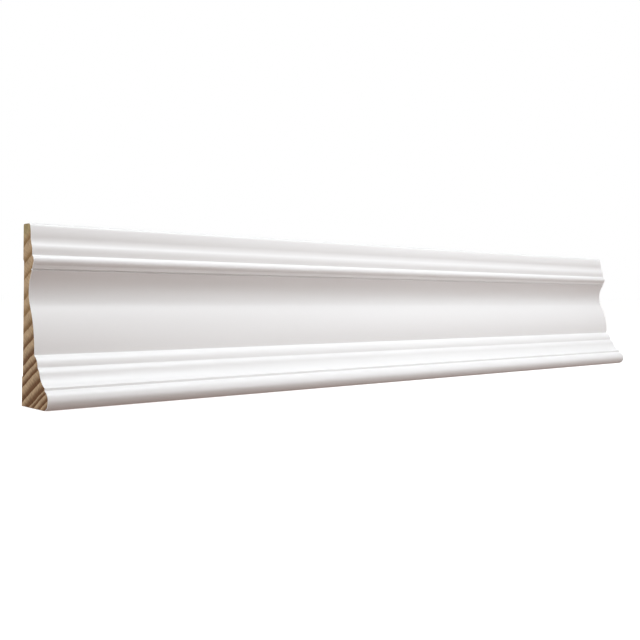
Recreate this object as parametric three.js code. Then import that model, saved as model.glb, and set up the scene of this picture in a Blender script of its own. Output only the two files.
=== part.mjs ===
// Door casing: one length of milled softwood, standing on its thick outer edge.
// +X runs along the length and +Z across the width, from the thick edge up to the thin one.
// The moulded face looks towards -Y and the flat back towards +Y. All sizes are millimetres.

import * as THREE from "three";

// Overall size.
const length = 510;
const width = 88.9;
const thickness = 30.2;

// Back: two lands that bed on wall and jamb, with a shallow relief between them.
const outerLand = 14;
const innerLand = 17.4;
const reliefDepth = 0.9;
const reliefRamp = 1.2;
const backArris = 0.8;

// Thick edge, measured up from its flat underside and back from the foremost line. A tilt is
// how far the surface faces upwards: none on an upright face, a quarter turn on a level one.
const torusRadius = 4.76;
const filletSetback = 3.7;
const filletHeight = 1.3;
const hollowRadius = 9.2;
const hollowFootTilt = THREE.MathUtils.degToRad(70);
const waistTilt = THREE.MathUtils.degToRad(18);
const roundRadius = 5;
const roundTopTilt = THREE.MathUtils.degToRad(60);
const quirkHeight = 0.4;
const ovoloFrontThickness = 18.4;
const ovoloRadius = 5.8;

// Field: a flat band, a long swell and a cove. Thicknesses are measured from the back plane.
const bandHeight = 2.2;
const swellThickness = 14.4;
const floorThickness = 7.3;
const coveRadius = 16;
const coveLipThickness = 11;

// Bead, the slanted fascia below it and the quirk between fascia and cove, measured down from
// the thin edge. The quirk is a narrow groove cut back to its own thickness.
const beadDrop = 18.25;
const beadRadius = 2.7;
const beadThickness = 12.6;
const beadUndercut = THREE.MathUtils.degToRad(52);
const fasciaHeight = 1.95;
const fasciaFootThickness = 11.2;
const lipQuirkHeight = 0.5;
const lipQuirkThickness = 9.9;

// Thin edge, measured down from its top.
const shoulderDrop = 13.5;
const shoulderThickness = 10.8;
const shoulderHollowRadius = 7.3;
const noseDrop = 6.7;
const noseThickness = 8.9;
const noseFaceRadius = 18;
const noseCornerRadius = 2;

const arcSegments = 14;
const QUARTER = Math.PI / 2;

// An S curve: a convex arc that leaves the face `front` upright at height `low`, and a concave
// arc that arrives upright at the face `back` at height `high`. Returns the radius that the
// convex arc needs beside the concave one, and the angle at which the two arcs meet.
function ogeeArcs(front, back, low, high, concaveRadius) {
  const depth = front - back;
  const rise = high - low;
  const bothRadii = (rise ** 2 + depth ** 2) / (2 * depth);
  return {
    convexRadius: bothRadii - concaveRadius,
    angle: Math.acos(1 - depth / bothRadii),
  };
}

// Angle at which an arc of this radius, bulging out to `front`, comes back to the plane `face`.
function returnAngle(front, radius, face) {
  return Math.acos(THREE.MathUtils.clamp((face - front + radius) / radius, 0, 1));
}

// Underside, torus, fillet, hollow, round and ovolo, up to the field's flat band.
function addThickEdge(shape) {
  const torusCentre = thickness - torusRadius;
  const filletFace = thickness - filletSetback;
  const torusTurn = returnAngle(thickness, torusRadius, filletFace);
  shape.lineTo(torusCentre, 0);
  shape.absarc(torusCentre, torusRadius, torusRadius, -QUARTER, torusTurn, false);

  const hollowX = filletFace + hollowRadius * Math.cos(hollowFootTilt);
  const hollowY = 2 * torusRadius + filletHeight + hollowRadius * Math.sin(hollowFootTilt);
  const hollowStart = hollowFootTilt - 2 * QUARTER;
  const hollowEnd = waistTilt - 2 * QUARTER;
  shape.absarc(hollowX, hollowY, hollowRadius, hollowStart, hollowEnd, true);

  const roundX = hollowX - (hollowRadius + roundRadius) * Math.cos(waistTilt);
  const roundY = hollowY - (hollowRadius + roundRadius) * Math.sin(waistTilt);
  shape.absarc(roundX, roundY, roundRadius, waistTilt, roundTopTilt, false);

  const ovoloFoot = roundY + roundRadius * Math.sin(roundTopTilt) + quirkHeight;
  const ovoloTurn = returnAngle(ovoloFrontThickness, ovoloRadius, swellThickness);
  const ovoloTop = ovoloFoot + ovoloRadius * Math.sin(ovoloTurn);
  const ovoloX = ovoloFrontThickness - ovoloRadius;
  shape.absarc(ovoloX, ovoloFoot, ovoloRadius, 0, ovoloTurn, false);
  shape.lineTo(swellThickness, ovoloTop);
  return ovoloTop;
}

// Flat band, long swell and cove, up to the cove's lip below the fascia.
function addField(shape, ovoloTop, lipHeight) {
  const lipTurn = returnAngle(0, coveRadius, floorThickness - coveLipThickness);
  const floorHeight = lipHeight - coveRadius * Math.sin(lipTurn);
  const swellFoot = ovoloTop + bandHeight;
  const arcs = ogeeArcs(swellThickness, floorThickness, swellFoot, floorHeight, coveRadius);
  const swellCentre = swellThickness - arcs.convexRadius;
  const coveStart = 2 * QUARTER + arcs.angle;
  const coveEnd = 2 * QUARTER - lipTurn;
  shape.absarc(swellCentre, swellFoot, arcs.convexRadius, 0, arcs.angle, false);
  shape.absarc(floorThickness + coveRadius, floorHeight, coveRadius, coveStart, coveEnd, true);
}

// Quirk, fascia, bead, shoulder ogee and the rounded thin edge.
function addThinEdge(shape, fasciaFoot) {
  const beadCentre = beadThickness - beadRadius;
  const beadTurn = returnAngle(beadThickness, beadRadius, shoulderThickness);
  shape.lineTo(lipQuirkThickness, fasciaFoot - lipQuirkHeight);
  shape.lineTo(lipQuirkThickness, fasciaFoot);
  shape.lineTo(fasciaFootThickness, fasciaFoot);
  shape.absarc(beadCentre, width - beadDrop, beadRadius, -beadUndercut, beadTurn, false);

  const shoulderFoot = width - shoulderDrop;
  const noseFoot = width - noseDrop;
  const hollowRadius = shoulderHollowRadius;
  const arcs = ogeeArcs(shoulderThickness, noseThickness, shoulderFoot, noseFoot, hollowRadius);
  const roundCentre = shoulderThickness - arcs.convexRadius;
  const hollowCentre = noseThickness + hollowRadius;
  const hollowStart = 2 * QUARTER + arcs.angle;
  shape.absarc(roundCentre, shoulderFoot, arcs.convexRadius, 0, arcs.angle, false);
  shape.absarc(hollowCentre, noseFoot, hollowRadius, hollowStart, 2 * QUARTER, true);

  const cornerHeight = width - noseCornerRadius;
  const faceCentre = noseThickness - noseFaceRadius;
  const faceTurn = Math.asin((cornerHeight - noseFoot) / (noseFaceRadius - noseCornerRadius));
  const cornerCentre = faceCentre + (noseFaceRadius - noseCornerRadius) * Math.cos(faceTurn);
  shape.absarc(faceCentre, noseFoot, noseFaceRadius, 0, faceTurn, false);
  shape.absarc(cornerCentre, cornerHeight, noseCornerRadius, faceTurn, QUARTER, false);
}

// Back plane from the thin edge down: eased arris, inner land, relief and outer land.
function addBack(shape) {
  shape.absarc(backArris, width - backArris, backArris, QUARTER, 2 * QUARTER, false);
  shape.lineTo(0, width - innerLand);
  shape.lineTo(reliefDepth, width - innerLand - reliefRamp);
  shape.lineTo(reliefDepth, outerLand + reliefRamp);
  shape.lineTo(0, outerLand);
}

// Section across the casing: x is the distance from the back plane, y the height.
function casingSection() {
  const fasciaFoot = width - beadDrop - beadRadius * Math.sin(beadUndercut) - fasciaHeight;
  const shape = new THREE.Shape();
  shape.moveTo(0, 0);
  const ovoloTop = addThickEdge(shape);
  addField(shape, ovoloTop, fasciaFoot - lipQuirkHeight);
  addThinEdge(shape, fasciaFoot);
  addBack(shape);
  return shape;
}

// The stick: the section drawn out along the length and cut square at both ends.
function makeCasing() {
  const geometry = new THREE.ExtrudeGeometry(casingSection(), {
    depth: length,
    bevelEnabled: false,
    curveSegments: arcSegments,
  });
  const paint = new THREE.MeshStandardMaterial({ color: 0xf1f0ee, roughness: 0.42, metalness: 0 });
  const mesh = new THREE.Mesh(geometry, paint);
  const forward = new THREE.Vector3(0, -1, 0);
  const upward = new THREE.Vector3(0, 0, 1);
  const basis = new THREE.Matrix4().makeBasis(forward, upward, new THREE.Vector3(-1, 0, 0));
  mesh.name = "casing";
  mesh.setRotationFromMatrix(basis);
  mesh.position.set(length / 2, thickness / 2, 0);
  return mesh;
}

const casing = new THREE.Group();
casing.add(makeCasing());

export default casing;
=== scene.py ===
import bpy
import numpy as np
from mathutils import Matrix, Vector


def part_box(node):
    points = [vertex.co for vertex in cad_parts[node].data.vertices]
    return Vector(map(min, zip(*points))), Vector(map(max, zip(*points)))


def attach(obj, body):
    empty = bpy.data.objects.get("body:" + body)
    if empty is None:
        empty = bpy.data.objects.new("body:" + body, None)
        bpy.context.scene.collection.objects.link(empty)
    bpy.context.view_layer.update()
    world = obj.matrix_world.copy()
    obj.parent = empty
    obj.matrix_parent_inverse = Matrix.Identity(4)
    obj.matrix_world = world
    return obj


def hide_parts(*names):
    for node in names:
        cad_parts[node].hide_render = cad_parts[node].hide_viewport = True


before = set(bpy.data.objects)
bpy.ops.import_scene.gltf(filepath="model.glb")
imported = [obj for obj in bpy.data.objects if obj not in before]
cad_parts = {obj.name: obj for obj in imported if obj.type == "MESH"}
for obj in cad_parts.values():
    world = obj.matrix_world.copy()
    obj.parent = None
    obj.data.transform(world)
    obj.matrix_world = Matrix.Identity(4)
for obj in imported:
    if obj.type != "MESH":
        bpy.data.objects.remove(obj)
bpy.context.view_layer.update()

# Camera: set low beside the sawn end, looking along the moulded face, as in the photograph.
# It stands about 170 mm off the near end and 410 mm out from the back plane. The uprights of the
# photograph spread a little towards the foot, so the camera looks slightly up, and a small shift
# of the lens keeps the stick in the middle of the frame.
MM = 0.001
photo_width = 640.0
focal_pixels = 864.0
sensor_width = 36.0
lens_axis_row = 284.1
camera_place = Vector((-424.2 * MM, -396.9 * MM, 52.4 * MM))
camera_turn, camera_tilt, camera_roll = np.radians([41.30, -1.05, 0.29])
nearest_seen = 0.01
farthest_seen = 200.0


def camera_axes(turn, tilt, roll):
    """Right, up and backward directions of a camera that is turned from +Y towards +X, then
    tilted down, then rolled: each direction is a sum of sines and cosines of these angles."""
    level_look = Vector((np.sin(turn), np.cos(turn), 0.0))
    level_right = Vector((np.cos(turn), -np.sin(turn), 0.0))
    upright = Vector((0.0, 0.0, 1.0))
    look = level_look * np.cos(tilt) - upright * np.sin(tilt)
    up = upright * np.cos(tilt) + level_look * np.sin(tilt)
    right = level_right * np.cos(roll) + up * np.sin(roll)
    return right, up * np.cos(roll) - level_right * np.sin(roll), -look


lens = bpy.data.cameras.new("camera")
lens.sensor_width = sensor_width
lens.lens = focal_pixels / photo_width * sensor_width
lens.shift_y = (lens_axis_row - photo_width / 2) / photo_width
lens.clip_start = nearest_seen
lens.clip_end = farthest_seen
camera = bpy.data.objects.new("camera", lens)
bpy.context.scene.collection.objects.link(camera)
camera_turned = Matrix(camera_axes(camera_turn, camera_tilt, camera_roll)).transposed().to_4x4()
camera.matrix_world = Matrix.Translation(camera_place) @ camera_turned
bpy.context.scene.camera = camera

# The casing's section: a softwood board run through a moulder, its outline worked out from the
# cutters' radii. The primer coat rounds every arris and fills every corner a little.
low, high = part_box("casing")
width = high.z - low.z
thickness = high.y - low.y

torus_radius = 4.76 * MM
fillet_setback = 3.7 * MM
fillet_height = 1.3 * MM
hollow_radius = 9.2 * MM
round_radius = 5.0 * MM
hollow_foot_tilt, waist_tilt, round_top_tilt = np.radians([70.0, 18.0, 60.0])
quirk_height = 0.4 * MM
ovolo_front_thickness = 18.4 * MM
ovolo_radius = 5.8 * MM
band_height = 2.2 * MM
swell_thickness = 14.4 * MM
floor_thickness = 7.3 * MM
cove_radius = 16.0 * MM
cove_lip_thickness = 11.0 * MM
lip_quirk_height = 0.5 * MM
lip_quirk_thickness = 9.9 * MM
fascia_foot_thickness = 11.2 * MM
fascia_height = 1.95 * MM
bead_drop = 18.25 * MM
bead_radius = 2.7 * MM
bead_thickness = 12.6 * MM
bead_undercut = np.radians(52.0)
shoulder_drop = 13.5 * MM
shoulder_thickness = 10.8 * MM
shoulder_hollow_radius = 7.3 * MM
nose_drop = 6.7 * MM
nose_thickness = 8.9 * MM
nose_face_radius = 18.0 * MM
nose_corner_radius = 2.0 * MM
outer_land = 14.0 * MM
inner_land = 17.4 * MM
relief_depth = 0.9 * MM
relief_ramp = 1.2 * MM
back_arris = 0.8 * MM

arc_points = 48
outline_step = 0.12 * MM
arris_ease = 0.21 * MM
bell_steps = 6
quarter_turn = np.pi / 2
half_turn = np.pi


def arc(across, up, radius, start, end):
    """Points of a circle from angle start to end: the centre plus radius times (cos, sin)."""
    angle = np.linspace(start, end, arc_points)
    return np.stack([across + radius * np.cos(angle), up + radius * np.sin(angle)], 1)


def return_angle(front, radius, face):
    """Angle whose cosine brings an arc that bulges out to front back to the plane face."""
    return np.arccos(np.clip((face - front + radius) / radius, 0.0, 1.0))


def ogee(front, back, bottom, top, hollow):
    """An S curve: a round that leaves the plane front upright, then a hollow that arrives upright
    at the plane back. The two radii add up to (rise squared + depth squared) / (2 depth)."""
    depth = front - back
    both = ((top - bottom) ** 2 + depth ** 2) / (2 * depth)
    turn = np.arccos(1 - depth / both)
    lower = arc(front - both + hollow, bottom, both - hollow, 0.0, turn)
    upper = arc(back + hollow, top, hollow, half_turn + turn, half_turn)
    return np.concatenate([lower, upper])


def thick_edge():
    """Torus, fillet, hollow, round and ovolo, from the underside up to the flat band. The hollow
    and the round meet where both face up by the waist's tilt, so their centres lie in line."""
    fillet = thickness - fillet_setback
    torus_turn = return_angle(thickness, torus_radius, fillet)
    across = fillet + hollow_radius * np.cos(hollow_foot_tilt)
    up = 2 * torus_radius + fillet_height + hollow_radius * np.sin(hollow_foot_tilt)
    round_across = across - (hollow_radius + round_radius) * np.cos(waist_tilt)
    round_up = up - (hollow_radius + round_radius) * np.sin(waist_tilt)
    ovolo_foot = round_up + round_radius * np.sin(round_top_tilt) + quirk_height
    ovolo_turn = return_angle(ovolo_front_thickness, ovolo_radius, swell_thickness)
    ovolo_across = ovolo_front_thickness - ovolo_radius
    return np.concatenate([
        arc(thickness - torus_radius, torus_radius, torus_radius, -quarter_turn, torus_turn),
        arc(across, up, hollow_radius, hollow_foot_tilt - half_turn, waist_tilt - half_turn),
        arc(round_across, round_up, round_radius, waist_tilt, round_top_tilt),
        arc(ovolo_across, ovolo_foot, ovolo_radius, 0.0, ovolo_turn),
        [[swell_thickness, ovolo_foot + ovolo_radius * np.sin(ovolo_turn)]],
    ])


def field(band_foot, lip_height):
    """Long swell and cove between the flat band and the cove's lip: an ogee, and then the hollow
    carried on past its deepest line until it comes out to the lip."""
    lip_turn = return_angle(0.0, cove_radius, floor_thickness - cove_lip_thickness)
    floor_height = lip_height - cove_radius * np.sin(lip_turn)
    centre = floor_thickness + cove_radius
    swell_foot = band_foot + band_height
    return np.concatenate([
        ogee(swell_thickness, floor_thickness, swell_foot, floor_height, cove_radius),
        arc(centre, floor_height, cove_radius, half_turn, half_turn - lip_turn),
    ])


def thin_edge(fascia_foot):
    """Quirk, fascia, bead, shoulder ogee and the gently rounded nose with its small corner."""
    bead_turn = return_angle(bead_thickness, bead_radius, shoulder_thickness)
    bead_centre = bead_thickness - bead_radius
    shoulder_foot = width - shoulder_drop
    nose_foot = width - nose_drop
    corner_height = width - nose_corner_radius
    inner_radius = nose_face_radius - nose_corner_radius
    face_turn = np.arcsin((corner_height - nose_foot) / inner_radius)
    face_centre = nose_thickness - nose_face_radius
    corner_centre = face_centre + inner_radius * np.cos(face_turn)
    return np.concatenate([
        [
            [lip_quirk_thickness, fascia_foot - lip_quirk_height],
            [lip_quirk_thickness, fascia_foot],
            [fascia_foot_thickness, fascia_foot],
        ],
        arc(bead_centre, width - bead_drop, bead_radius, -bead_undercut, bead_turn),
        ogee(shoulder_thickness, nose_thickness, shoulder_foot, nose_foot, shoulder_hollow_radius),
        arc(face_centre, nose_foot, nose_face_radius, 0.0, face_turn),
        arc(corner_centre, corner_height, nose_corner_radius, face_turn, quarter_turn),
    ])


def back():
    """Eased arris and inner land, the shallow relief, and the outer land down to the underside."""
    return np.concatenate([
        arc(back_arris, width - back_arris, back_arris, quarter_turn, half_turn),
        [
            [0.0, width - inner_land],
            [relief_depth, width - inner_land - relief_ramp],
            [relief_depth, outer_land + relief_ramp],
            [0.0, outer_land],
            [0.0, 0.0],
        ],
    ])


def casing_outline():
    """The closed outline at even steps: points are laid along the summed distance round it, then
    averaged with their neighbours by a bell curve as wide as the primer eases a corner. An
    average of points on the outline never lies outside the box of the stick."""
    fascia_foot = width - bead_drop - bead_radius * np.sin(bead_undercut) - fascia_height
    edge = thick_edge()
    corners = np.concatenate([
        edge,
        field(edge[-1, 1], fascia_foot - lip_quirk_height),
        thin_edge(fascia_foot),
        back(),
    ])
    closed = np.concatenate([corners, corners[:1]])
    travel = np.concatenate([[0.0], np.cumsum(np.linalg.norm(np.diff(closed, axis=0), axis=1))])
    count = int(travel[-1] / outline_step)
    even = np.linspace(0.0, travel[-1], count, endpoint=False)
    points = np.stack([np.interp(even, travel, closed[:, k]) for k in (0, 1)], 1)
    reach = np.arange(-bell_steps, bell_steps + 1)
    weight = np.exp(-0.5 * (reach * outline_step / arris_ease) ** 2)
    shifted = [np.roll(points, shift, axis=0) for shift in reach]
    return np.tensordot(weight / weight.sum(), np.array(shifted), axes=1)


def inward(outline):
    """Unit direction into the wood at each outline point: the chord between its two neighbours
    turned a quarter turn to the left, for an outline that runs round anticlockwise."""
    chord = np.roll(outline, -1, axis=0) - np.roll(outline, 1, axis=0)
    chord /= np.linalg.norm(chord, axis=1)[:, None]
    return np.stack([-chord[:, 1], chord[:, 0]], 1)


# White coat: sprayed primer and satin paint on the face and both edges, about a fifth of a
# millimetre thick, smooth but with a faint orange peel and the grain just telling through it.
paint_film = 0.2 * MM
paint_white = (0.875, 0.862, 0.856, 1.0)
paint_shade = (0.850, 0.836, 0.828, 1.0)
paint_roughness = (0.36, 0.44)

# Here and below, lumps are how many lumps of noise there are to a metre along X, Y and Z.
mottle_lumps = (9, 30, 30)
peel_lumps = (800, 800, 800)
telling_lumps = (14, 900, 900)
peel_height = 0.01 * MM
telling_height = 0.02 * MM
coat_relief = 0.5
most_noise = (0.3, 0.7)


def fill_inputs(node, inputs):
    """Fill a node's inputs by name or place: an output is linked in, a plain value is stored."""
    for key, value in inputs.items():
        if isinstance(value, bpy.types.NodeSocket):
            node.id_data.links.new(value, node.inputs[key])
        else:
            node.inputs[key].default_value = value


def node_maker(tree):
    """A call that adds a shader node to this tree, with its settings and inputs."""

    def add(kind, inputs=None, **settings):
        node = tree.nodes.new(kind)
        for key, value in settings.items():
            setattr(node, key, value)
        fill_inputs(node, inputs or {})
        return node

    return add


def start_material(name):
    """A new material, the call that adds nodes to it, and its surface shader."""
    material = bpy.data.materials.new(name)
    material.use_nodes = True
    tree = material.node_tree
    return material, node_maker(tree), tree.nodes["Principled BSDF"]


def stretched(add, scale):
    """Object coordinates multiplied by three scales, so that a pattern is drawn out along one."""
    place = add("ShaderNodeTexCoord").outputs["Object"]
    return add("ShaderNodeMapping", {"Vector": place, "Scale": scale}).outputs["Vector"]


def noise(add, place, **more):
    """Soft noise from 0 to 1, with about one lump to each unit of place."""
    return add("ShaderNodeTexNoise", {"Vector": place, "Scale": 1.0, **more}).outputs[0]


def remap(add, value, old=(0.0, 1.0), new=(0.0, 1.0)):
    """A value carried in proportion from the old range to the new one, and kept inside it."""
    ranges = {1: old[0], 2: old[1], 3: new[0], 4: new[1]}
    return add("ShaderNodeMapRange", {0: value, **ranges}).outputs[0]


def mixed(add, share, first, second):
    """The first colour where the share is 0, the second where it is 1, and a blend between."""
    colours = {6: first, 7: second}
    return add("ShaderNodeMix", {0: share, **colours}, data_type="RGBA").outputs[2]


def bump(add, strength, depth, height, **under):
    """A surface direction tilted by the slope of a height, over a bump that may lie under it."""
    amounts = {"Strength": strength, "Distance": depth}
    return add("ShaderNodeBump", {**amounts, "Height": height, **under}).outputs[0]


def white_coat():
    """Satin white: two close whites mottled by slow noise, a roughness that varies a little, and
    a bump of fine round orange peel plus long streaks of grain."""
    material, add, shader = start_material("white_coat")
    mottle = noise(add, stretched(add, mottle_lumps))
    peel = noise(add, stretched(add, peel_lumps))
    grain = noise(add, stretched(add, telling_lumps))
    peeled = bump(add, coat_relief, peel_height, peel)
    fill_inputs(shader, {
        "Base Color": mixed(add, mottle, paint_white, paint_shade),
        "Roughness": remap(add, mottle, most_noise, paint_roughness),
        "Normal": bump(add, coat_relief, telling_height, grain, Normal=peeled),
    })
    return material


# Growth rings: the board was sawn from a fast-grown pine, so its rings cross the section nearly
# straight, rising to the face. Ring widths, in millimetres, are read from the pith side, at the
# thin edge, outwards.
pith_out, pith_up = -628.0 * MM, 1200.0 * MM
ring_widths = (7.8, 7.8, 6.7, 8.6, 7.5, 7.0, 6.7, 6.8, 4.6, 4.2, 6.2, 5.3, 2.3, 3.7, 3.4, 3.5)
first_ring = 1279.1 * MM
pith_drift = 7.0 * MM
drift_wave = 3.4
wobble_lumps = (5, 60, 60)
wobble_detail = 6.0
wobble_roughness = 0.65
wobble_reach = 1.2 * MM
ring_power = (1.75, 0.5)
ring_chance = 0.25

# How dark a ring is at shares of the way across it, past the grey of its own edge.
latewood = ((0.06, 0.0), (0.26, 0.08), (0.48, 0.42), (0.72, 0.9), (0.95, 1.0))
ring_edge_grey = 0.12


def maths(add, operation, *values):
    """The result of a Math node's operation on one or two numbers."""
    return add("ShaderNodeMath", dict(enumerate(values)), operation=operation).outputs[0]


def ring_count(add):
    """Rings counted from the first, and the share of the way outwards: the distance from the pith
    line, read on a curve that rises by one for each ring's own width. The line wanders by a sine
    along the stick, zero at the near end, so that the rings stay where that end shows them."""
    place = add("ShaderNodeSeparateXYZ", {0: stretched(add, (1, 1, 1))}).outputs
    along = maths(add, "ADD", place[0], -low.x)
    wave = maths(add, "SINE", maths(add, "MULTIPLY", along, drift_wave))
    drift = maths(add, "MULTIPLY", wave, pith_drift)
    wobble = noise(add, stretched(add, wobble_lumps), Detail=wobble_detail,
                   Roughness=wobble_roughness)
    sway = remap(add, wobble, new=(-wobble_reach, wobble_reach))
    out = maths(add, "ADD", place[1], pith_out - high.y)
    up = maths(add, "ADD", place[2], -pith_up)
    up_swayed = maths(add, "ADD", maths(add, "ADD", up, drift), sway)
    flat = add("ShaderNodeCombineXYZ", {1: out, 2: up_swayed}).outputs[0]
    radius = add("ShaderNodeVectorMath", {0: flat}, operation="LENGTH").outputs["Value"]
    reach = sum(ring_widths) * MM
    outwards = remap(add, radius, (first_ring, first_ring + reach))
    curve = add("ShaderNodeFloatCurve", {"Value": outwards})
    edges = np.cumsum(ring_widths) / sum(ring_widths)
    points = curve.mapping.curves[0].points
    for index, edge in enumerate(edges[:-1], start=1):
        points.new(edge, index / len(ring_widths))
    for point in points:
        point.handle_type = "VECTOR"
    curve.mapping.update()
    return maths(add, "MULTIPLY", curve.outputs[0], float(len(ring_widths))), outwards


def ring_darkness(add, rings, outwards):
    """Latewood in each ring: the part of a ring past its edge, raised to a power that falls
    outwards and differs from ring to ring, so that the ring darkens slowly and ends sharply."""
    within = maths(add, "FRACT", rings)
    index = maths(add, "FLOOR", rings)
    chance = add("ShaderNodeTexWhiteNoise", {"W": index}, noise_dimensions="1D").outputs[0]
    share = remap(add, outwards, new=ring_power)
    spread = remap(add, chance, new=(-ring_chance, ring_chance))
    bent = maths(add, "POWER", within, maths(add, "ADD", share, spread))
    ramp = add("ShaderNodeValToRGB", {0: bent})
    stops = ramp.color_ramp.elements
    stops[0].color = (ring_edge_grey, ring_edge_grey, ring_edge_grey, 1.0)
    stops[1].color = (0.0, 0.0, 0.0, 1.0)
    for place, grey in latewood:
        stops.new(place).color = (grey, grey, grey, 1.0)
    return ramp.outputs[0]


# Bare pine where the stick is cut or left from the moulder: end grain on the two sawn ends, cut
# by a circular saw, and long grain on the back, planed but neither sanded nor painted.
end_early = (0.372, 0.262, 0.158, 1.0)
end_stained = (0.300, 0.232, 0.118, 1.0)
end_late_pale = (0.205, 0.120, 0.052, 1.0)
end_late_deep = (0.106, 0.046, 0.018, 1.0)

# Shares of the way outwards between which the grey stain ends and the latewood deepens.
stained_shares = (0.02, 0.09)
deep_shares = (0.42, 0.58)

pore_lumps = (0, 2600, 2600)
ray_lumps = (0, 2300, 130)
streak_lumps = (0, 110, 1100)
ray_lean = np.radians(-27.0)
most_of_three = (1.0, 2.0)
end_tone = (0.52, 1.44)
end_roughness = 0.8
end_shine = 0.12
saw_radius = 125.0 * MM
saw_top = (0.0, 30.0 * MM, 45.0 * MM)
saw_pitch = 1.3 * MM
saw_relief = 0.35
saw_depth = 0.02 * MM
pore_relief = 0.6
pore_depth = 0.04 * MM

long_early = (0.74, 0.56, 0.36, 1.0)
long_late = (0.54, 0.33, 0.165, 1.0)
patch_lumps = (7, 70, 70)
patch_strength = (0.3, 1.0)
fibre_lumps = (18, 1500, 1500)
fibre_tone = (0.80, 1.16)
fibre_relief = 0.5
fibre_depth = 0.03 * MM
long_roughness = 0.62
long_shine = 0.3
planer_pitch = 1.9 * MM
planer_relief = 0.3
planer_depth = 0.01 * MM
overspray = 1.4 * MM
full_spray = 0.3 * overspray
mist_lumps = (60, 500, 500)


def multiplied(add, vector, by):
    """A direction or colour multiplied part by part by another, or by one number."""
    return add("ShaderNodeVectorMath", {0: vector, 1: by}, operation="MULTIPLY").outputs[0]


def waves(add, distance, pitch):
    """A sine that comes round once for each pitch of distance."""
    return maths(add, "SINE", maths(add, "MULTIPLY", distance, 2 * np.pi / pitch))


def end_grain():
    """Pale earlywood and brown latewood by ring, deeper towards the bark and greyer in the first
    ring, at the thin edge, with fine pores and rays as noise, and faint arcs of the saw's teeth
    as rings about a blade that stood below."""
    material, add, shader = start_material("pine_end_grain")
    rings, outwards = ring_count(add)
    dark = ring_darkness(add, rings, outwards)
    late = mixed(add, remap(add, outwards, deep_shares), end_late_pale, end_late_deep)
    early = mixed(add, remap(add, outwards, stained_shares), end_stained, end_early)
    wood = mixed(add, dark, early, late)
    pores = noise(add, stretched(add, pore_lumps))
    leaned = add("ShaderNodeMapping", {
        "Vector": add("ShaderNodeTexCoord").outputs["Object"],
        "Rotation": (ray_lean, 0.0, 0.0),
    }).outputs[0]
    rays = noise(add, multiplied(add, leaned, ray_lumps))
    streaks = noise(add, multiplied(add, leaned, streak_lumps))
    speckle = maths(add, "ADD", pores, rays)
    tone = remap(add, maths(add, "ADD", speckle, streaks), most_of_three, end_tone)
    blade = (saw_top[0], saw_top[1], saw_top[2] - saw_radius)
    place = add("ShaderNodeVectorMath", {0: stretched(add, (0, 1, 1)), 1: blade},
                operation="SUBTRACT").outputs[0]
    from_blade = add("ShaderNodeVectorMath", {0: place}, operation="LENGTH").outputs["Value"]
    teeth = bump(add, saw_relief, saw_depth, waves(add, from_blade, saw_pitch))
    fill_inputs(shader, {
        "Base Color": multiplied(add, wood, tone),
        "Normal": bump(add, pore_relief, pore_depth, speckle, Normal=teeth),
        "Roughness": end_roughness,
        "Specular IOR Level": end_shine,
    })
    return material


def long_grain():
    """Straw-coloured pine with ring stripes that run along the stick and fade in places by a slow
    noise, fine fibres as noise drawn out lengthways, the planer's ripple as a sine, and overspray
    of primer that laps from the two edges by a width that another slow noise varies."""
    material, add, shader = start_material("pine_long_grain")
    dark = ring_darkness(add, *ring_count(add))
    patches = noise(add, stretched(add, patch_lumps))
    faded = maths(add, "MULTIPLY", dark, remap(add, patches, most_noise, patch_strength))
    wood = mixed(add, faded, long_early, long_late)
    fibres = noise(add, stretched(add, fibre_lumps))
    toned = multiplied(add, wood, remap(add, fibres, most_noise, fibre_tone))
    place = add("ShaderNodeSeparateXYZ", {0: stretched(add, (1, 1, 1))}).outputs
    off_middle = maths(add, "ABSOLUTE", maths(add, "ADD", place[2], -(low.z + high.z) / 2))
    mist = noise(add, stretched(add, mist_lumps))
    lap = remap(add, mist, new=(-overspray, overspray))
    edge_zone = (width / 2 - overspray, width / 2 - full_spray)
    sprayed = remap(add, maths(add, "ADD", off_middle, lap), edge_zone)
    planed = bump(add, planer_relief, planer_depth, waves(add, place[0], planer_pitch))
    fill_inputs(shader, {
        "Base Color": mixed(add, sprayed, toned, paint_shade),
        "Normal": bump(add, fibre_relief, fibre_depth, fibres, Normal=planed),
        "Roughness": long_roughness,
        "Specular IOR Level": long_shine,
    })
    return material


# The stick itself: one length of milled pine, the section carried straight along it and cut
# square at both ends. On each end the coat shows as a thin white line round the painted edges.
end_ease = 0.08 * MM
stations = 24
clear_share = 0.97
bare_facing = 0.6
bare_margin = 0.1 * MM
sharp_angle = np.radians(30.0)
coat_slot, long_slot, end_slot = 0, 1, 2


def film_foot(outline, normal):
    """The line where coat meets wood on a sawn end: the outline moved in by the coat's thickness.
    Where that folds over itself inside a tight arris, which shows as points that lie nearer to
    the outline than the thickness, the line runs straight past between the points on each side."""
    moved = outline + normal * paint_film
    gap = np.linalg.norm(moved[:, None] - outline[None], axis=2).min(1)
    sound = np.flatnonzero(gap > clear_share * paint_film)
    count = len(outline)
    at = np.concatenate([sound - count, sound, sound + count])
    wanted = np.arange(count)
    kept = np.tile(moved[sound], (3, 1))
    return np.stack([np.interp(wanted, at, kept[:, k]) for k in (0, 1)], 1)


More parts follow.
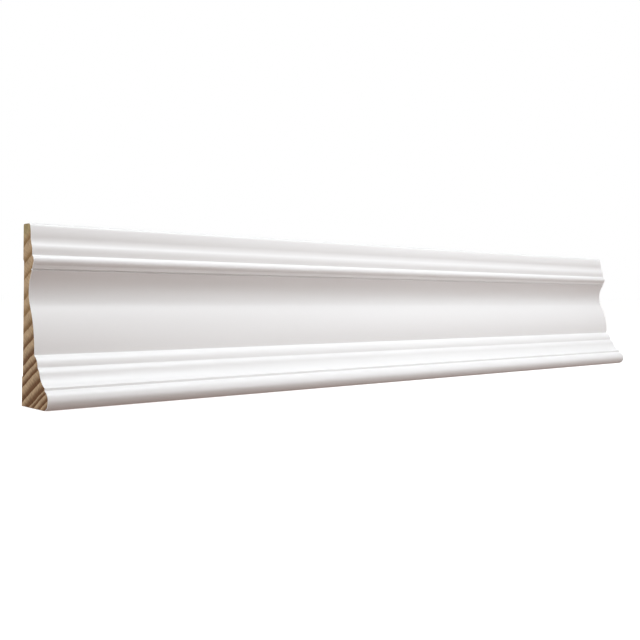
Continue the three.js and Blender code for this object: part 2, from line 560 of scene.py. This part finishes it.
def stick_mesh():
    """A grid of outline point by place along the stick. At each end two more rings follow, one
    drawn in by the eased cut and one by the thickness of the coat, and a flat face closes them.
    The back is bare where it faces away from the moulding and lies no deeper than its relief."""
    outline = casing_outline()
    normal = inward(outline)
    count = len(outline)
    eased = outline + normal * end_ease
    coat = film_foot(outline, normal)
    along = np.linspace(low.x + end_ease, high.x - end_ease, stations)
    rings = [(low.x, coat), (low.x, eased)]
    rings += [(x, outline) for x in along]
    rings += [(high.x, eased), (high.x, coat)]
    points = np.concatenate([
        np.stack([np.full(count, x), high.y - ring[:, 0], low.z + ring[:, 1]], 1)
        for x, ring in rings
    ])
    around = np.arange(count)
    after = (around + 1) % count
    start = (np.arange(len(rings) - 1) * count)[:, None]
    sides = np.stack([start + around, start + after, start + count + after,
                      start + count + around], 2).reshape(-1, 4)
    near = around[::-1]
    far = around + (len(rings) - 1) * count
    mesh = bpy.data.meshes.new("casing_stick")
    mesh.from_pydata(points, [], sides.tolist() + [near.tolist(), far.tolist()])
    bare = (normal[:, 0] > bare_facing) & (outline[:, 0] < relief_depth + bare_margin)
    side_slots = np.tile(np.where(bare, long_slot, coat_slot), (len(rings) - 1, 1))
    side_slots[0][bare] = end_slot
    side_slots[-1][bare] = end_slot
    all_slots = np.append(side_slots.ravel(), [end_slot, end_slot])
    mesh.polygons.foreach_set("material_index", all_slots)
    mesh.polygons.foreach_set("use_smooth", np.ones(len(mesh.polygons), bool))
    mesh.set_sharp_from_angle(angle=sharp_angle)
    mesh.update()
    return mesh


stick = bpy.data.objects.new("casing_stick", stick_mesh())
bpy.context.scene.collection.objects.link(stick)
for finish in (white_coat(), long_grain(), end_grain()):
    stick.data.materials.append(finish)
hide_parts("casing")
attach(stick, "root")

# Studio floor: a wide sheet of white acrylic lit from below, as in a product studio, so that the
# ground stays plain white under the stick. It throws no light on the stick.
floor_size = 60.0
floor_white = (0.8, 0.8, 0.8, 1.0)
glow_white = (1.0, 1.0, 1.0, 1.0)
floor_glow = 0.75


def studio_floor():
    """A flat square centred under the stick."""
    side = np.array([-1.0, 1.0]) * floor_size
    across, along = np.meshgrid(side, side)
    points = np.stack([across.ravel(), along.ravel(), np.full(4, low.z)], 1)
    mesh = bpy.data.meshes.new("floor")
    mesh.from_pydata(points, [], [(0, 1, 3, 2)])
    material, _, shader = start_material("white_acrylic")
    fill_inputs(shader, {
        "Base Color": floor_white,
        "Roughness": 1.0,
        "Specular IOR Level": 0.0,
        "Emission Color": glow_white,
        "Emission Strength": floor_glow,
    })
    mesh.materials.append(material)
    return mesh


floor = bpy.data.objects.new("floor", studio_floor())
bpy.context.scene.collection.objects.link(floor)
floor.visible_diffuse = False
floor.visible_glossy = False

# Studio light: a pale sky dome with a warm return from below, two soft lamps high in front of the
# stick, one at half that height, one at its right, two low before its middle and its far part, and
# one facing each sawn end. The backdrop itself is plain white.
sky_pale = (0.332, 0.320, 0.310, 1.0)
ground_warm = (0.412, 0.320, 0.287, 1.0)
nadir_dark = (0.100, 0.065, 0.050, 1.0)
backdrop_white = (1.0, 1.0, 1.0, 1.0)
lamp_white = (0.915, 0.965, 1.0)

# Colour of the dome by share of the way from straight down to straight up.
dome_bands = ((0.25, ground_warm), (0.44, ground_warm), (0.495, sky_pale))

# Each lamp: its place, the point it faces, the side of its panel in metres, its power in watts.
lamps = {
    "near_key": ((-0.20, -0.12, 0.62), (-0.17, 0.0, 0.05), 0.2, 1.08),
    "far_key": ((0.12, -0.25, 0.80), (0.12, 0.0, 0.05), 0.4, 3.60),
    "front_lamp": ((0.24, -0.75, 0.45), (0.20, 0.0, 0.05), 0.4, 0.55),
    "right_lamp": ((0.90, -0.70, 0.35), (0.10, 0.0, 0.045), 0.5, 0.70),
    "low_near_lamp": ((0.0, -0.32, 0.03), (0.0, 0.0, 0.06), 0.2, 0.10),
    "low_far_lamp": ((0.25, -0.60, 0.07), (0.18, 0.0, 0.045), 0.3, 0.80),
    "near_end_lamp": ((-1.00, 0.22, 0.12), (-0.255, 0.0, 0.045), 0.3, 5.6),
    "far_end_lamp": ((1.00, 0.22, 0.12), (0.255, 0.0, 0.045), 0.3, 3.0),
}

world = bpy.data.worlds.new("studio")
bpy.context.scene.world = world
world.use_nodes = True
add_sky = node_maker(world.node_tree)
direction = add_sky("ShaderNodeTexCoord").outputs["Generated"]
upward = add_sky("ShaderNodeSeparateXYZ", {0: direction}).outputs[2]
dome = add_sky("ShaderNodeValToRGB", {0: remap(add_sky, upward, (-1.0, 1.0))})
dome.color_ramp.elements[0].color = nadir_dark
dome.color_ramp.elements[1].color = sky_pale
for share, colour in dome_bands:
    dome.color_ramp.elements.new(share).color = colour
seen = add_sky("ShaderNodeLightPath").outputs["Is Camera Ray"]
backdrop = mixed(add_sky, seen, dome.outputs[0], backdrop_white)
fill_inputs(world.node_tree.nodes["Background"], {"Color": backdrop})


def soft_lamp(name, place, aim, size, power):
    """A square panel of light at a place, turned so that its face looks at the aim."""
    data = bpy.data.lights.new(name, "AREA")
    data.size = size
    data.energy = power
    data.color = lamp_white
    lamp = bpy.data.objects.new(name, data)
    bpy.context.scene.collection.objects.link(lamp)
    lamp.location = place
    lamp.rotation_euler = (Vector(aim) - Vector(place)).to_track_quat("-Z", "Y").to_euler()


for name, (place, aim, size, power) in lamps.items():
    soft_lamp(name, place, aim, size, power)

bpy.context.scene.view_settings.view_transform = "Standard"
